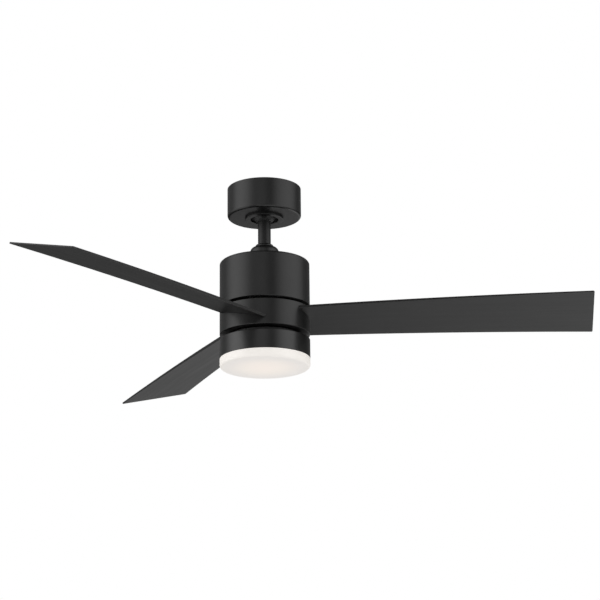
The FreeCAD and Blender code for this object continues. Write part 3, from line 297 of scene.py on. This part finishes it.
def finishes():
    """One finish for every material slot of the record but the blades', which follow below."""
    lengthwise = (1, 1, 12)
    return {
        "black_coat": powder_coat("black_coat", HOUSING_ROUGHNESS),
        "opal": opal(),
        "core_steel": stator_steel(),
        "copper_wire": copper_wire(),
        "black_nylon": plain("black_nylon", grey(0.035), 0.55).material,
        "zinc_steel": plain("zinc_steel", (0.55, 0.56, 0.57), 0.34, 1.0, stretch=lengthwise).material,
        "cast_alloy": plain("cast_alloy", grey(0.46), 0.5, 1.0, grain=500.0, depth=0.08 * MM).material,
        "sheet_alloy": plain("sheet_alloy", grey(0.66), 0.34, 1.0, stretch=lengthwise).material,
        "magnet_dark": plain("magnet_dark", grey(0.06), 0.4, 0.6).material,
        "bearing_steel": plain("bearing_steel", grey(0.62), 0.16, 1.0, vary=0.06).material,
        "rubber_pad": plain("rubber_pad", grey(0.018), 0.75).material,
        "lead_jacket": plain("lead_jacket", grey(0.4), 0.5).material,
        "white_board": plain("white_board", (0.78, 0.78, 0.75), 0.45, vary=0.04).material,
        "led_lens": plain("led_lens", (0.85, 0.62, 0.2), 0.25, vary=0.08).material,
        "white_case": plain("white_case", grey(0.68), 0.45, vary=0.05).material,
    }


materials = finishes()
for number, angle in enumerate(BLADE_ANGLES, start=1):
    dress(nodes["blade_%d" % number], blade_finish("black_blade_%d" % number, angle))
for part in frame["record"]["subparts"]:
    if part["material_slot"] in materials:
        dress(nodes[part["node"]], materials[part["material_slot"]])
dress(nodes["light_ring"], powder_coat("black_coat_ring", RING_ROUGHNESS, RING_GLOSS, RING_PIGMENT))
dress(nodes["downrod"], powder_coat("black_coat_rod", ROD_ROUGHNESS, ROD_GLOSS))


# ---- camera, lights, floor -----------------------------------------------------------

def place_camera():
    """Stands in front of the fan's axis, below the blades, and looks up."""
    pitch, yaw, roll = (math.radians(a) for a in (CAMERA_PITCH, CAMERA_YAW, CAMERA_ROLL))
    ahead = Vector((math.sin(yaw) * math.cos(pitch), math.cos(yaw) * math.cos(pitch), math.sin(pitch)))
    right = Vector((math.cos(yaw), -math.sin(yaw), 0))
    up = right.cross(ahead)
    level = Matrix((right, up, -ahead)).transposed()
    turn = level @ Matrix.Rotation(roll, 3, "Z")
    data = bpy.data.cameras.new("camera")
    data.lens = CAMERA_LENS
    data.sensor_width = SENSOR_WIDTH
    data.clip_end = CAMERA_RANGE
    camera = link(bpy.data.objects.new("camera", data))
    camera.matrix_world = Matrix.Translation((0, -CAMERA_DISTANCE, CAMERA_HEIGHT)) @ turn.to_4x4()
    bpy.context.scene.camera = camera


def soft_light(tree, direction, azimuth, elevation, fade, strength):
    """Glow round one direction of the backdrop."""
    turn = math.radians(azimuth)
    lift = math.radians(elevation)
    towards = (math.sin(turn) * math.cos(lift), -math.cos(turn) * math.cos(lift), math.sin(lift))
    dot = tree.nodes.new("ShaderNodeVectorMath")
    dot.operation = "DOT_PRODUCT"
    dot.inputs[1].default_value = towards
    tree.links.new(direction, dot.inputs[0])
    glow = tree.nodes.new("ShaderNodeMapRange")
    glow.interpolation_type = "SMOOTHSTEP"
    glow.inputs["From Min"].default_value = math.cos(math.radians(fade))
    glow.inputs["To Max"].default_value = strength
    tree.links.new(dot.outputs["Value"], glow.inputs["Value"])
    return glow.outputs["Result"]


def place_world():
    """White backdrop to the camera; to everything else a dim room with soft lights."""
    world = bpy.data.worlds.new("studio")
    bpy.context.scene.world = world
    world.use_nodes = True
    tree = world.node_tree
    direction = tree.nodes.new("ShaderNodeTexCoord").outputs["Generated"]
    total = None
    for settings in SOFT_LIGHTS.values():
        glow = soft_light(tree, direction, *settings)
        adder = tree.nodes.new("ShaderNodeMath")
        tree.links.new(glow, adder.inputs[0])
        if total is None:
            adder.inputs[1].default_value = AMBIENT
        else:
            tree.links.new(total, adder.inputs[1])
        total = adder.outputs["Value"]
    lit = tree.nodes.new("ShaderNodeBackground")
    tree.links.new(total, lit.inputs["Strength"])
    lit.inputs["Color"].default_value = (1, 1, 1, 1)
    seen = tree.nodes["Background"]
    seen.inputs["Color"].default_value = (1, 1, 1, 1)
    path = tree.nodes.new("ShaderNodeLightPath")
    mix = tree.nodes.new("ShaderNodeMixShader")
    tree.links.new(path.outputs["Is Camera Ray"], mix.inputs["Fac"])
    tree.links.new(lit.outputs["Background"], mix.inputs[1])
    tree.links.new(seen.outputs["Background"], mix.inputs[2])
    tree.links.new(mix.outputs["Shader"], tree.nodes["World Output"].inputs["Surface"])


def place_floor():
    """Pale floor far below the fan, kept out of glossy reflections."""
    bpy.ops.mesh.primitive_plane_add(size=FLOOR_SIZE, location=(0, 0, FLOOR_HEIGHT))
    floor = bpy.context.object
    floor.name = "floor"
    graph = plain("pale_floor", grey(0.8), 0.6, vary=0.02, grain=40.0)
    glow = graph.add("ShaderNodeMath", operation="MULTIPLY")
    glow.inputs[1].default_value = FLOOR_GLOW
    graph.join(graph.add("ShaderNodeLightPath").outputs["Is Camera Ray"], glow.inputs[0])
    graph.join(glow.outputs["Value"], graph.shader.inputs["Emission Strength"])
    graph.shader.inputs["Emission Color"].default_value = (1, 1, 1, 1)
    dress(floor, graph.material)
    floor.visible_glossy = False


place_camera()
place_world()
place_floor()

bpy.context.scene.view_settings.view_transform = "Standard"
